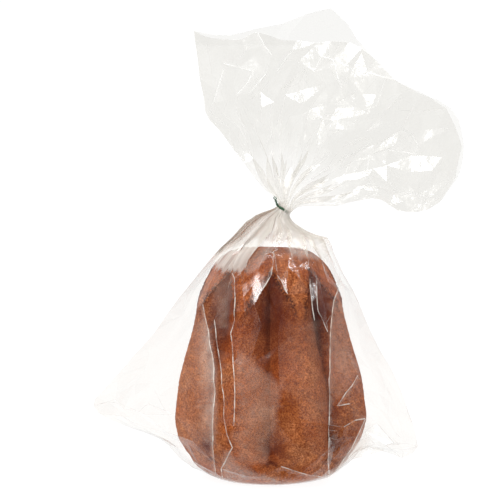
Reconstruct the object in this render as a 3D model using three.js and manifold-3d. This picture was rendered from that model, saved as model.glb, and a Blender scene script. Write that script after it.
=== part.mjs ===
// An eight-pointed star cake, tall and golden brown, standing on its wide domed end in a loose
// clear film bag. The bag is gathered above the cake with a green wire tie, and its open end
// fans out over the tie and leans to one side. Millimetres, +Z up, front towards -Y.
// The origin is the centre of the flat foot that the cake stands on.
import * as THREE from "three";
import { mergeVertices } from "three/addons/utils/BufferGeometryUtils.js";
import Module from "manifold-3d";

const POINTS = 8; // ridges of the star, the first valley faces the front
const CAKE_HEIGHT = 220;
const FOOT_RADIUS = 51; // flat part of the domed base
const TOP_FLAT_RADIUS = 20.5; // flat part of the small end
const STEPS_PER_POINT = 8;
const BASE_BLEND = 8; // width of the soft corner between star and dome
const TOP_BLEND = 3;
const FLUTE_POWER = 1.4; // 1 makes the flutes plain angles, and more makes their ridges rounder
const FLUTES_DEEPEN = [40, 70]; // heights between which the flutes come to their own depth
const BASE_LIP = { height: 11, spread: 6, out: 2.2 }; // bulge of crust below each flute
const BASE_CREASE = { height: 17, arch: 10, spread: 3.4, depth: 2.8 }; // arched fold above it
const BULGE = { size: 0.5, waves: 3, twist: 23 }; // slow unevenness of the whole cake
const UNEVEN = { shrink: 1.6, deepen: 2.4, turn: 1.6, lip: 2 }; // most that each ridge is off
const FILM = 1.6; // least thickness of bag between the cake's ridges and the outside
const GAP = 0.5; // clearance between the cake and the bag
const BAG_SIDES = 80;
const CAVITY_SIDES = 40;
const CAVITY_BELOW = 4; // the hollow is cut from this far under the foot
const CAVITY_SHOULDER = 200; // above this height the hollow clears the cake upwards too
const NECK = new THREE.Vector3(12.5, 0, 258); // middle of the gathered neck
const NECK_TILT = 35; // degrees that the neck leans to +X
const NECK_RADIUS = 5.6;
const NECK_BAND = 2.5; // half the length of the straight neck under the tie
const NECK_PLEAT = 0.05; // depth of the pleats there, as a share of the radius
const FAN_DROP = 5; // the fan's own centre lies this far below the neck
const FAN_START = 12; // radius of the fan's first section
const FAN_RINGS = 13;
const FAN_SPACING = 1.25; // the fan's sections stand closer together near the tie
const TIE_WIDTH = 2.8;
const TIE_THICKNESS = 1.1;
const TIE_CLEARANCE = 0.35;
const TIE_BEVEL = [0.3, 0.4]; // of the band's edges, across and along
const TIE_SIDES = 24;
const TIE_WIRE = 0.75; // radius of each twisted end
const TIE_WIRE_SIDES = 6;
const TIE_END = 10; // length of the twisted ends
const TIE_END_STEPS = 16;
const TIE_END_FROM = [-5, -5, 2.2]; // where the ends leave the band, from the middle of the neck
const TIE_END_DRIFT = [-3.4, -1.8]; // how far they lean to -X and to -Y
const TIE_END_TURNS = 1.75;
const TIE_END_APART = [0.35, 0.85]; // radius of the twist at the band and further on
const TIE_END_OPENS = [0, 0.3]; // shares of the length between which that radius grows
const TIE_END_SPLAY = [0.8, 1.5]; // how far each tip bends out of the twist
const TIE_END_BENDS = [0.7, 1]; // shares of the length between which it bends
const SEED = 7;

// Heights and sizes of the cake: the tips and valleys of the star, and the rounded outline that
// closes it above and below.
const TIP = [[0, 101.5], [62, 99], [78, 96.7], [93, 94.6], [108, 90.8], [124, 85.6], [139, 81.3],
  [155, 77.8], [170, 75.5], [CAKE_HEIGHT, 67.5]];
const VALLEY = [[0, 86], [24, 85], [38, 82], [48, 77.5], [62, 80], [78, 79.5], [93, 77],
  [108, 72.5], [124, 67.5], [139, 62.5], [160, 58], [200, 56], [CAKE_HEIGHT, 54.5]];
const OUTLINE = [[0, FOOT_RADIUS], [2.5, 58.5], [8, 67.5], [16, 74.5], [24, 80.5], [32, 85.5],
  [39, 90], [47, 94], [54, 97.5], [62, 101], [80, 105.5], [130, 98], [150, 83.5], [160, 77.8],
  [165, 75.6], [170, 73.8], [175, 71.6], [180, 68.6], [185, 65.6], [190, 62.8], [193, 61],
  [201, 56.3], [209, 49.5], [215, 41.5], [218.6, 31.5], [CAKE_HEIGHT, TOP_FLAT_RADIUS]];
const CAKE_RINGS = [0, 2.5, 6, 11, 15, 19, 23, 27, 33, 42, 52, 62, 77, 93, 108, 124, 140, 153,
  162, 169, 175, 181, 189, 199, 207, 214, 218.4, CAKE_HEIGHT];

// Heights and sizes of the bag: where its front and back lie, and how far its flat side
// fins reach to the left and to the right of the middle line.
const BAG_ROUND = [[0, 58], [4, 65.5], [12, 74.5], [20, 81], [28, 86.5], [36, 92], [44, 96.5],
  [52, 99.6], [62, 101.6], [78, 99.6], [93, 97.2], [108, 93.4], [124, 88.2], [139, 84],
  [155, 80.6], [170, 78.4], [176, 76.4], [182, 72.4], [196, 63.4], [209, 55], [221, 44],
  [229, 35], [236, 27], [241, 21], [245, 16.5], [249, 12]];
const BAG_LEFT = [[0, 60], [4, 70], [12, 82], [20, 91], [28, 98], [36, 109], [44, 130], [52, 152],
  [60, 166], [70, 171], [80, 163], [138, 112], [160, 96], [172, 88], [184, 77], [202, 62],
  [221, 47], [229, 39], [236, 32], [241, 27], [245, 21.5], [249, 15]];
const BAG_RIGHT = [[0, 62], [4, 68], [12, 77], [20, 84], [28, 92], [36, 112], [44, 134], [52, 144],
  [60, 142], [70, 138], [86, 128], [109, 114], [138, 98], [170, 84], [183, 78], [196, 70],
  [209, 65], [221, 58], [229, 53], [236, 49], [241, 41], [245, 27], [249, 14]];
const BAG_MIDDLE = [[0, 0], [205, 0], [221, 1], [236, 4], [245, 7], [249, 8.6]];
const BAG_RINGS = [0, 4, 12, 20, 28, 36, 44, 52, 60, 70, 80, 93, 108, 124, 139, 155, 170, 183, 196,
  209, 221, 229, 236, 241, 245, 249];
const EAR_DROOP = 26; // how far the right corner of the bag hangs down
const EAR_ACROSS = [88, 132]; // the droop sets in between these distances to the right
const EAR_UPWARDS = [110, 52]; // and between these heights
const GATHER = { depth: 0.16, from: 165, to: 245, middle: 0.2 }; // pleats below the tie
const GATHER_FLAT = 0.25; // the pleats die out towards the fins, within this sine of the angle
const LEAN_HEIGHTS = [226, 250]; // the sections begin to lean with the neck
const LEAN_SHARE = 0.6;

// The fan above the tie: angle of its left and right edges against the distance from its centre,
// and the length of the front and back film against the place across it, 0 left to 1 right.
const FAN_LEFT = [[12, 104], [27, 122], [42, 125], [71, 125.8], [100, 126.5], [116, 127.3],
  [126, 124.8], [159, 119.3], [193, 115.3]];
const FAN_RIGHT = [[12, 14], [18, 22], [32, 17], [53, 9], [90, 9.5], [114, 1.5], [136, 1.4],
  [153, 4.5]];
const RIM_FRONT = [[0, 193], [0.045, 180], [0.136, 170], [0.172, 174], [0.253, 166], [0.353, 167],
  [0.434, 176], [0.525, 173], [0.606, 168], [0.677, 176], [0.7475, 190], [0.785, 191.5],
  [0.87, 183], [0.905, 178], [0.955, 165], [1, 153]];
const RIM_BACK = [[0, 193], [0.1, 176], [0.24, 180], [0.355, 201], [0.45, 182], [0.606, 168],
  [0.75, 188], [0.86, 185], [1, 153]];
const FAN_HALF_DEPTH = [[12, 6.5], [30, 10], [70, 17], [120, 22], [160, 21], [200, 18]];
const FAN_EDGE = 0.65; // the lower, the blunter its left and right edges
const RUFFLE = 0.16; // share of the depth
// Folds of the fan: half waves across it, where they start and their size.
const FRONT_FOLDS = [[9, 0.7, 1], [17, 0, 0.6]];
const BACK_FOLDS = [[7, 2.1, 1], [9, 0.7, 0.5], [17, 0, 0.3]];
// The fan's sway to the front and back: a long wave and a short one, and a set.
const LONG_SWAY = { size: 15, turn: 5.2, start: 0.4 };
const SHORT_SWAY = { size: 5, turn: 15 };
const SWAY_BACK = 4;

// The same stream of numbers each time, between 0 and 1.
let state = SEED;
function random() {
  state = (state * 1664525 + 1013904223) % 4294967296;
  return state / 4294967296;
}

// A smooth curve through [place, size] pairs that never overshoots them.
function through(pairs) {
  const slope = pairs.slice(1).map((p, i) => (p[1] - pairs[i][1]) / (p[0] - pairs[i][0]));
  const tangent = pairs.map((p, i) => {
    if (i === 0) return slope[0];
    if (i === slope.length) return slope[i - 1];
    if (slope[i - 1] * slope[i] <= 0) return 0;
    return (2 * slope[i - 1] * slope[i]) / (slope[i - 1] + slope[i]);
  });
  return (x) => {
    if (x <= pairs[0][0]) return pairs[0][1];
    if (x >= pairs[pairs.length - 1][0]) return pairs[pairs.length - 1][1];
    const i = pairs.findIndex((p) => p[0] > x) - 1;
    const h = pairs[i + 1][0] - pairs[i][0];
    const t = (x - pairs[i][0]) / h;
    const a = (1 + 2 * t) * (1 - t) ** 2;
    const b = t * (1 - t) ** 2;
    const c = t * t * (3 - 2 * t);
    const d = t * t * (t - 1);
    return a * pairs[i][1] + b * h * tangent[i] + c * pairs[i + 1][1] + d * h * tangent[i + 1];
  };
}

// The smaller of two sizes, with the corner between them rounded over the width k.
function softLeast(a, b, k) {
  const h = Math.max(k - Math.abs(a - b), 0) / k;
  return Math.min(a, b) - (h * h * k) / 4;
}

function smooth(from, to, x) {
  const t = Math.min(Math.max((x - from) / (to - from), 0), 1);
  return t * t * (3 - 2 * t);
}

// A closed surface through a stack of rings with the same number of points each.
function stack(rings, close) {
  const sides = rings[0].length;
  const points = rings.flat();
  const index = [];
  for (let k = 0; k + 1 < rings.length; k++) {
    for (let i = 0; i < sides; i++) {
      const a = k * sides + i;
      const b = k * sides + ((i + 1) % sides);
      index.push(a, b, b + sides, a, b + sides, a + sides);
    }
  }
  close(points, index, sides);
  const geometry = new THREE.BufferGeometry().setFromPoints(points);
  geometry.setIndex(index);
  return geometry;
}

// Closes one end of a stack with a fan of triangles about its middle.
function closeEnd(points, index, sides, first, upwards) {
  const middle = new THREE.Vector3();
  for (let i = 0; i < sides; i++) middle.addScaledVector(points[first + i], 1 / sides);
  points.push(middle);
  for (let i = 0; i < sides; i++) {
    const a = first + i;
    const b = first + ((i + 1) % sides);
    index.push(...(upwards ? [a, b, points.length - 1] : [b, a, points.length - 1]));
  }
}

const wasm = await Module();
wasm.setup();

function solid(geometry) {
  const bare = geometry.clone();
  bare.deleteAttribute("normal");
  bare.deleteAttribute("uv");
  const merged = mergeVertices(bare, 1e-4);
  return new wasm.Manifold(new wasm.Mesh({
    numProp: 3,
    vertProperties: merged.attributes.position.array,
    triVerts: new Uint32Array(merged.index.array),
  }));
}

function geometryOf(made) {
  const mesh = made.getMesh();
  const geometry = new THREE.BufferGeometry();
  geometry.setAttribute("position", new THREE.BufferAttribute(mesh.vertProperties, 3));
  geometry.setIndex(new THREE.BufferAttribute(mesh.triVerts, 1));
  geometry.computeVertexNormals();
  return geometry;
}

// The cake: a tapering star, cut by a rounded outline, so that each valley ends below the small
// end in an arch of crust and above the base in a bulging lip.
const tip = through(TIP);
const valley = through(VALLEY);
const outline = through(OUTLINE);
const ridges = Array.from({ length: POINTS }, () => ({
  shrink: UNEVEN.shrink * random(),
  deepen: UNEVEN.deepen * random(),
  turn: UNEVEN.turn * (random() - 0.5),
  lip: UNEVEN.lip * random(),
}));

// A bump of height 1 about a height.
function bump(height, spread, z) {
  return Math.exp(-(((z - height) / spread) ** 2));
}

function cakeRadius(side, z) {
  const sides = POINTS * STEPS_PER_POINT;
  const point = Math.floor(side / STEPS_PER_POINT) % POINTS;
  const along = (side % STEPS_PER_POINT) / STEPS_PER_POINT; // 0 at a valley, 0.5 at a ridge
  const ridge = ridges[point];
  const before = ridges[(point + POINTS - 1) % POINTS];
  const deep = along === 0 ? (ridge.deepen + before.deepen) / 2 : ridge.deepen;
  const t = Math.abs(2 * along - 1);
  const low = valley(z) - deep * smooth(...FLUTES_DEEPEN, z);
  const high = tip(z) - ridge.shrink;
  const star = low + (high - low) * (1 - t ** FLUTE_POWER);
  const lip = BASE_LIP.out * bump(BASE_LIP.height, BASE_LIP.spread, z) * t ** 2;
  const foldHeight = BASE_CREASE.height + BASE_CREASE.arch * t ** 2;
  const fold = bump(foldHeight, BASE_CREASE.spread, z) * t ** 2;
  const crease = (BASE_CREASE.depth + ridge.lip) * fold;
  const wave = BULGE.size * Math.sin((2 * Math.PI * BULGE.waves * side) / sides + z / BULGE.twist);
  const blend = z < CAKE_HEIGHT / 2 ? BASE_BLEND : TOP_BLEND;
  return softLeast(star, outline(z) + lip, blend) - crease + wave;
}

const cakeRings = CAKE_RINGS.map((z) =>
  Array.from({ length: POINTS * STEPS_PER_POINT }, (_, side) => {
    const point = ridges[Math.floor(side / STEPS_PER_POINT)];
    const along = (side % STEPS_PER_POINT) / STEPS_PER_POINT;
    const turn = along === 0 ? 0 : point.turn * Math.sin((Math.PI * z) / CAKE_HEIGHT);
    const angle = THREE.MathUtils.degToRad((360 * side) / (POINTS * STEPS_PER_POINT) - 90 + turn);
    const r = cakeRadius(side, z);
    return new THREE.Vector3(r * Math.cos(angle), r * Math.sin(angle), z);
  }),
);
const cakeShape = stack(cakeRings, (points, index, sides) => {
  closeEnd(points, index, sides, 0, false);
  closeEnd(points, index, sides, (CAKE_RINGS.length - 1) * sides, true);
});

// The bag below the tie: at each height a circle round the cake, drawn out to two flat fins, and
// gathered into pleats towards the neck.
const cakeWidest = through(
  cakeRings.map((ring) => [ring[0].z, Math.max(...ring.map((p) => Math.hypot(p.x, p.y)))]),
);
const bagRound = through(BAG_ROUND);
const bagLeft = through(BAG_LEFT);
const bagRight = through(BAG_RIGHT);
const bagMiddle = through(BAG_MIDDLE);
const pleats = [9, 13, 19].map((count) => ({ count, phase: 2 * Math.PI * random() }));

function pleat(angle) {
  return pleats.reduce((sum, p) => sum + Math.cos(p.count * angle + p.phase), 0) / pleats.length;
}

// How far a taut film reaches at this angle, from a circle out to a point at the given reach.
function taut(radius, reach, away) {
  if (reach <= radius) return radius;
  return radius / Math.cos(Math.max(Math.acos(radius / reach) - away, 0));
}

function bagPoint(side, z) {
  const angle = (2 * Math.PI * side) / BAG_SIDES;
  const fromRight = Math.min(angle, 2 * Math.PI - angle);
  const round = Math.max(bagRound(z), z > CAKE_HEIGHT ? 0 : cakeWidest(z) + GAP + FILM);
  const flatness = smooth(0, GATHER_FLAT, Math.abs(Math.sin(angle)));
  const gather = GATHER.depth * smooth(GATHER.from, GATHER.to, z) * flatness;
  const reach = Math.max(
    taut(round, bagLeft(z), Math.PI - fromRight),
    taut(round, bagRight(z), fromRight),
  );
  const r = reach * (1 + gather * (pleat(angle) - GATHER.middle));
  const x = r * Math.cos(angle);
  const droop = EAR_DROOP * smooth(...EAR_ACROSS, x) * smooth(...EAR_UPWARDS, z);
  const lean = THREE.MathUtils.degToRad(NECK_TILT * LEAN_SHARE * smooth(...LEAN_HEIGHTS, z));
  return new THREE.Vector3(
    bagMiddle(z) + x * Math.cos(lean),
    r * Math.sin(angle),
    z - x * Math.sin(lean) - droop,
  );
}

// The neck: two rings square to its own axis.
const tilt = THREE.MathUtils.degToRad(NECK_TILT);
const neckAxis = new THREE.Vector3(Math.sin(tilt), 0, Math.cos(tilt));
const neckAcross = new THREE.Vector3(Math.cos(tilt), 0, -Math.sin(tilt));

function neckPoint(side, along) {
  const angle = (2 * Math.PI * side) / BAG_SIDES;
  const r = NECK_RADIUS * (1 - NECK_PLEAT + NECK_PLEAT * pleat(angle));
  return NECK.clone()
    .addScaledVector(neckAxis, along)
    .addScaledVector(neckAcross, r * Math.cos(angle))
    .add(new THREE.Vector3(0, r * Math.sin(angle), 0));
}

// The fan above the tie: front and back film, joined along the left and right edges.
const fanCentre = NECK.clone().addScaledVector(neckAxis, -FAN_DROP);
const fanLeft = through(FAN_LEFT);
const fanRight = through(FAN_RIGHT);
const rimFront = through(RIM_FRONT);
const rimBack = through(RIM_BACK);
const fanHalfDepth = through(FAN_HALF_DEPTH);

function fanPoint(side, share) {
  const half = BAG_SIDES / 2;
  const front = side > half;
  const across = front ? side / half - 1 : 1 - side / half;
  const rim = (front ? rimFront : rimBack)(across);
  const reach = FAN_START + (rim - FAN_START) * share;
  const left = fanLeft(reach);
  const degrees = left + (fanRight(reach) - left) * across;
  const open = (4 * across * (1 - across)) ** FAN_EDGE;
  const ruffle = (front ? FRONT_FOLDS : BACK_FOLDS).reduce(
    (sum, [halfWaves, start, size]) => sum + size * Math.cos(halfWaves * Math.PI * across + start),
    0,
  );
  const depth = fanHalfDepth(reach) * open * (1 + RUFFLE * ruffle);
  const longSway = LONG_SWAY.size * Math.sin(LONG_SWAY.turn * across + LONG_SWAY.start);
  const shortSway = SHORT_SWAY.size * Math.cos(SHORT_SWAY.turn * across);
  const sway = share * (longSway + shortSway - SWAY_BACK);
  const angle = THREE.MathUtils.degToRad(degrees);
  return new THREE.Vector3(
    fanCentre.x + reach * Math.cos(angle),
    (front ? -depth : depth) + sway,
    fanCentre.z + reach * Math.sin(angle),
  );
}

const everySide = Array.from({ length: BAG_SIDES }, (_, side) => side);
const bagRings = [
  ...BAG_RINGS.map((z) => everySide.map((side) => bagPoint(side, z))),
  ...[-NECK_BAND, NECK_BAND].map((along) => everySide.map((side) => neckPoint(side, along))),
  ...Array.from({ length: FAN_RINGS }, (_, k) => k / (FAN_RINGS - 1)).map((share) =>
    everySide.map((side) => fanPoint(side, share ** FAN_SPACING)),
  ),
];
const bagShape = stack(bagRings, (points, index, sides) => {
  closeEnd(points, index, sides, 0, false);
  // The mouth: a strip from the front film across to the back film.
  const last = (bagRings.length - 1) * sides;
  for (let i = 0; i < sides / 2; i++) {
    const a = last + ((sides - i) % sides);
    const b = last + sides - i - 1;
    const c = last + i + 1;
    const d = last + i;
    if (i > 0) index.push(d, c, a);
    if (i < sides / 2 - 1) index.push(a, c, b);
  }
});

// The hollow that holds the cake: round, because film spans the valleys, and open below, where
// the foot stands.
const hollowScale = 1 / Math.cos(Math.PI / CAVITY_SIDES);
const hollowProfile = [
  new THREE.Vector2(0, -CAVITY_BELOW),
  new THREE.Vector2((FOOT_RADIUS + GAP) * hollowScale, -CAVITY_BELOW),
  ...cakeRings.map((ring) => {
    const widest = Math.max(...ring.map((p) => Math.hypot(p.x, p.y)));
    const rise = ring[0].z > CAVITY_SHOULDER ? GAP : 0;
    return new THREE.Vector2((widest + GAP) * hollowScale, ring[0].z + rise);
  }),
  new THREE.Vector2(0, CAKE_HEIGHT + GAP),
];
const hollowShape = new THREE.LatheGeometry(hollowProfile, CAVITY_SIDES).rotateX(Math.PI / 2);
const bagSolid = solid(bagShape).subtract(solid(hollowShape));

// The tie: a flat paper-covered wire band round the neck, with its two ends twisted together.
const bandInner = NECK_RADIUS + TIE_CLEARANCE;
const bandOuter = bandInner + TIE_THICKNESS;
const bandHalf = TIE_WIDTH / 2;
const [bevelAcross, bevelAlong] = TIE_BEVEL;
const bandProfile = [
  new THREE.Vector2(bandInner, -bandHalf),
  new THREE.Vector2(bandOuter - bevelAcross, -bandHalf),
  new THREE.Vector2(bandOuter, -bandHalf + bevelAlong),
  new THREE.Vector2(bandOuter, bandHalf - bevelAlong),
  new THREE.Vector2(bandOuter - bevelAcross, bandHalf),
  new THREE.Vector2(bandInner, bandHalf),
  new THREE.Vector2(bandInner, -bandHalf),
];
const bandShape = new THREE.LatheGeometry(bandProfile, TIE_SIDES)
  .rotateX(Math.PI / 2)
  .rotateY(tilt)
  .translate(NECK.x, NECK.y, NECK.z);

class TwistedEnd extends THREE.Curve {
  constructor(phase, splay) {
    super();
    this.phase = phase;
    this.splay = splay;
  }
  getPoint(t, target = new THREE.Vector3()) {
    const turn = this.phase + 2 * Math.PI * TIE_END_TURNS * t;
    const [close, far] = TIE_END_APART;
    const apart = close + (far - close) * smooth(...TIE_END_OPENS, t);
    const wide = apart + this.splay * smooth(...TIE_END_BENDS, t);
    const [fromX, fromY, fromZ] = TIE_END_FROM;
    const [driftX, driftY] = TIE_END_DRIFT;
    return target.set(
      NECK.x + fromX + driftX * t + wide * Math.cos(turn),
      fromY + driftY * t + wide * Math.sin(turn),
      NECK.z + fromZ + TIE_END * t,
    );
  }
}

const wireSection = new THREE.Shape().absarc(0, 0, TIE_WIRE, 0, 2 * Math.PI, false);
const endShapes = TIE_END_SPLAY.map((splay, k) =>
  new THREE.ExtrudeGeometry(wireSection, {
    steps: TIE_END_STEPS,
    curveSegments: TIE_WIRE_SIDES,
    bevelEnabled: false,
    extrudePath: new TwistedEnd(Math.PI * k, splay),
  }),
);
const tieSolid = endShapes.reduce((sum, end) => sum.add(solid(end)), solid(bandShape));

const pandoro = new THREE.Group();
pandoro.name = "pandoro_in_bag";

const cake = new THREE.Mesh(
  geometryOf(solid(cakeShape)),
  new THREE.MeshStandardMaterial({ color: 0x9a5634, roughness: 0.85, metalness: 0 }),
);
cake.name = "pandoro";
pandoro.add(cake);

const bag = new THREE.Mesh(
  geometryOf(bagSolid),
  new THREE.MeshStandardMaterial({
    color: 0xf4f2ec,
    roughness: 0.12,
    metalness: 0,
    transparent: true,
    opacity: 0.25,
  }),
);
bag.name = "bag";
pandoro.add(bag);

const tie = new THREE.Mesh(
  geometryOf(tieSolid),
  new THREE.MeshStandardMaterial({ color: 0x3f5b3a, roughness: 0.45, metalness: 0 }),
);
tie.name = "tie";
pandoro.add(tie);

export default pandoro;
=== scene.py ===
"""A pandoro in its clear film bag, on a white table: the studio, the loaf, the bag and the tie."""

import math
import random

import bpy
import numpy as np
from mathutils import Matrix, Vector, noise
from mathutils.geometry import delaunay_2d_cdt


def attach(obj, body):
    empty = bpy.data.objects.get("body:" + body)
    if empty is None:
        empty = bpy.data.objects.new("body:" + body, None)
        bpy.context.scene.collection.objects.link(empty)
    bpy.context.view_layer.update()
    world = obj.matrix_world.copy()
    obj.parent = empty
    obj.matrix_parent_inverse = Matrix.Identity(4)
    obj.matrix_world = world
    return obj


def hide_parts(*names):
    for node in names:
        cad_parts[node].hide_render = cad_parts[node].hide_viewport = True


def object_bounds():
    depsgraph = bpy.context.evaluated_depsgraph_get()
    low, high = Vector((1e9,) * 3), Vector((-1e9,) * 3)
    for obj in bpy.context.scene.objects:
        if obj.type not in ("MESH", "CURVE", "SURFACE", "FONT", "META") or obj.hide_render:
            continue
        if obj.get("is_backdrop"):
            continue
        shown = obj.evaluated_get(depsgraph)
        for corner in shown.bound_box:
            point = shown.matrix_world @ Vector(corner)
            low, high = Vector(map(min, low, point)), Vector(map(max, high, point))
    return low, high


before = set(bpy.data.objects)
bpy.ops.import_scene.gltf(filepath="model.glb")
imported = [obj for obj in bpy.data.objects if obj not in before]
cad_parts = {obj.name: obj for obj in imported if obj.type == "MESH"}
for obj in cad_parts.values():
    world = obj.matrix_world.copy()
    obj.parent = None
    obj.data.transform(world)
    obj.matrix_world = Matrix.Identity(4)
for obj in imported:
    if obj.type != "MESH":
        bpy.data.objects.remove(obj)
cad_low, cad_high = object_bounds()

# The studio: a white table that runs back into a white wall, with a soft light at each side and
# one above. The camera stands a little over the table, with a long lens.
PHOTO_PIXELS = 500
PIXEL = 0.00096  # metres at the loaf's middle
LOAF_AXIS_PIXEL = 270
FOOT_PIXEL = 481.5
FOOT_DROP = 0.005  # the near edge of the foot shows this far below its middle
CAMERA_DISTANCE = 2.4
CAMERA_RISE = math.radians(6)
SENSOR = 36
CAMERA_REACH = 50
FILM_LAYERS = 64  # that a ray may pass
BOUNCES = 10
LIGHTS_AIM = Vector((0, 0, 0.16))
LIGHTS = [  # name, place, width and height, watts
    ("light_left", (-0.8, -1.2, 1.7), (0.5, 0.7), 28),
    ("light_right", (1.25, -0.22, 1.3), (0.09, 0.5), 5),
    ("light_above", (0.1, 0.3, 1.8), (0.8, 0.5), 11),
]

middle_pixel = PHOTO_PIXELS / 2
aim = Vector((
    (middle_pixel - LOAF_AXIS_PIXEL) * PIXEL,
    0,
    ((FOOT_PIXEL - middle_pixel) * PIXEL - FOOT_DROP) / math.cos(CAMERA_RISE),
))
to_camera = Vector((0, -math.cos(CAMERA_RISE), math.sin(CAMERA_RISE)))
bpy.ops.object.select_all(action="DESELECT")
bpy.ops.object.camera_add(
    location=aim + CAMERA_DISTANCE * to_camera, rotation=(math.pi / 2 - CAMERA_RISE, 0, 0))
camera = bpy.context.object
camera.data.sensor_width = SENSOR
camera.data.lens = SENSOR * CAMERA_DISTANCE / (PHOTO_PIXELS * PIXEL)
camera.data.clip_end = CAMERA_REACH
bpy.context.scene.camera = camera
bpy.context.scene.view_settings.view_transform = "Standard"
bpy.context.scene.cycles.transparent_max_bounces = FILM_LAYERS
bpy.context.scene.cycles.max_bounces = BOUNCES

for name, place, size, watts in LIGHTS:
    turn = (LIGHTS_AIM - Vector(place)).to_track_quat("-Z", "Y").to_euler()
    bpy.ops.object.light_add(type="AREA", location=place, rotation=turn)
    lamp = bpy.context.object
    lamp.name = name
    lamp.data.shape = "RECTANGLE"
    lamp.data.size, lamp.data.size_y = size
    lamp.data.energy = watts


class Wire:
    """A shader socket that takes part in Python sums."""

    def __init__(self, tree, socket):
        self.tree = tree
        self.socket = socket

    def node(self, kind, settings=None, **sockets):
        """Adds a node. Settings come first, then the values or links of its sockets."""
        made = self.tree.nodes.new(kind)
        for key, value in (settings or {}).items():
            if key == "stops":
                ramp = made.color_ramp
                while len(ramp.elements) < len(value):
                    ramp.elements.new(1)
                for stop, (place, colour) in zip(ramp.elements, value):
                    stop.position = place
                    stop.color = (*colour, 1)
            else:
                setattr(made, key, value)
        for key, value in sockets.items():
            number = key[5:] if key.startswith("input") else ""
            target = made.inputs[int(number) if number.isdigit() else key.replace("_", " ")]
            if isinstance(value, Wire):
                self.tree.links.new(value.socket, target)
            else:
                target.default_value = value
        return made

    def out(self, kind, output=0, settings=None, **sockets):
        return Wire(self.tree, self.node(kind, settings, **sockets).outputs[output])

    def math(self, operation, other=0.0, swap=False):
        first, second = (other, self) if swap else (self, other)
        return self.out("ShaderNodeMath", 0, {"operation": operation},
                        input0=first, input1=second)

    def __add__(self, other):
        return self.math("ADD", other)

    def __sub__(self, other):
        return self.math("SUBTRACT", other)

    def __rsub__(self, other):
        return self.math("SUBTRACT", other, swap=True)

    def __mul__(self, other):
        return self.math("MULTIPLY", other)

    def __pow__(self, other):
        return self.math("POWER", other)

    __radd__ = __add__
    __rmul__ = __mul__

    def least(self, other):
        return self.math("MINIMUM", other)

    def most(self, other):
        return self.math("MAXIMUM", other)

    def spread(self, low, high):
        """0 below low, 1 above high, and straight between."""
        return self.out("ShaderNodeMapRange", 0, {"clamp": True}, Value=self,
                        From_Min=low, From_Max=high)

    def mix(self, first, second):
        """A colour between two, by this factor."""
        return self.out("ShaderNodeMix", 2, {"data_type": "RGBA"},
                        input0=self, input6=first, input7=second)

    def parts(self):
        """The three numbers of a vector."""
        apart = self.node("ShaderNodeSeparateXYZ", Vector=self)
        return [Wire(self.tree, output) for output in apart.outputs]


def new_material(name):
    """An empty material, a wire to build from, and the place of the point."""
    made = bpy.data.materials.new(name)
    made.use_nodes = True
    made.node_tree.nodes.clear()
    start = Wire(made.node_tree, None)
    return made, start, start.out("ShaderNodeTexCoord", "Object")


def show(shader):
    end = shader.tree.nodes.new("ShaderNodeOutputMaterial")
    shader.tree.links.new(shader.socket, end.inputs["Surface"])


def paint(piece, material):
    piece.data.materials.clear()
    piece.data.materials.append(material)


TABLE_SIZE = 40
TABLE_GREY = (0.08, 0.08, 0.08, 1)
WHITE = (1, 1, 1, 1)
bpy.ops.object.select_all(action="DESELECT")
bpy.ops.mesh.primitive_plane_add(size=TABLE_SIZE, location=(0, 0, 0))
table = bpy.context.object
table.name = "table"
white, start, _ = new_material("white_table")
show(start.out("ShaderNodeBsdfPrincipled", 0, Base_Color=TABLE_GREY, Roughness=0.7,
               Emission_Color=WHITE, Emission_Strength=0.95))
paint(table, white)
table.visible_glossy = False
table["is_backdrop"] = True

# The wall goes all round, and only the camera sees it.
WALL_RADIUS = 18
WALL_HEIGHT = 36
bpy.ops.object.select_all(action="DESELECT")
bpy.ops.mesh.primitive_cylinder_add(
    vertices=64, radius=WALL_RADIUS, depth=WALL_HEIGHT, end_fill_type="TRIFAN")
wall = bpy.context.object
wall.name = "wall"
bright, start, _ = new_material("white_wall")
show(start.out("ShaderNodeEmission", 0, Color=WHITE, Strength=1.046))
paint(wall, bright)
for ray in ("diffuse", "glossy", "transmission", "volume_scatter", "shadow"):
    setattr(wall, "visible_" + ray, False)
wall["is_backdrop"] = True

# What the film mirrors: the white wall behind, two tall bright cards in front, a bright ceiling,
# and else a dark room.
ROOM_DARK = (0.04, 0.04, 0.04, 1)
WALL_GLOW = 0.85
CEILING_GLOW = 0.6
CARD_SOFTNESS = 0.14
CARDS = [  # left, right, low and high edge, as parts of the way out, and glow
    (-0.62, -0.36, -0.12, 0.4, 0.75),
    (0.55, 0.78, -0.05, 0.4, 0.4),
]
world = bpy.data.worlds.new("studio_room")
bpy.context.scene.world = world
world.use_nodes = True
start = Wire(world.node_tree, None)
to_side, to_back, to_top = start.out("ShaderNodeTexCoord", "Generated").parts()
wall_light = (to_back + 0.35 * to_side * to_side).spread(-0.15, 0.5)
light = WALL_GLOW * wall_light
for left, right, low, high, glow in CARDS:
    card = (to_side.spread(left - CARD_SOFTNESS, left)
            * (1 - to_side.spread(right, right + CARD_SOFTNESS))
            * to_top.spread(low - CARD_SOFTNESS, low)
            * (1 - to_top.spread(high, high + CARD_SOFTNESS))
            * (1 - to_back.spread(-0.1, 0.1)))
    light = light.most(glow * card)
light = light.most(CEILING_GLOW * to_top.spread(0.86, 0.95))
background = world.node_tree.nodes["Background"]
world.node_tree.links.new(light.mix(ROOM_DARK, WHITE).socket, background.inputs["Color"])
background.inputs["Strength"].default_value = 1.0

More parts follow.
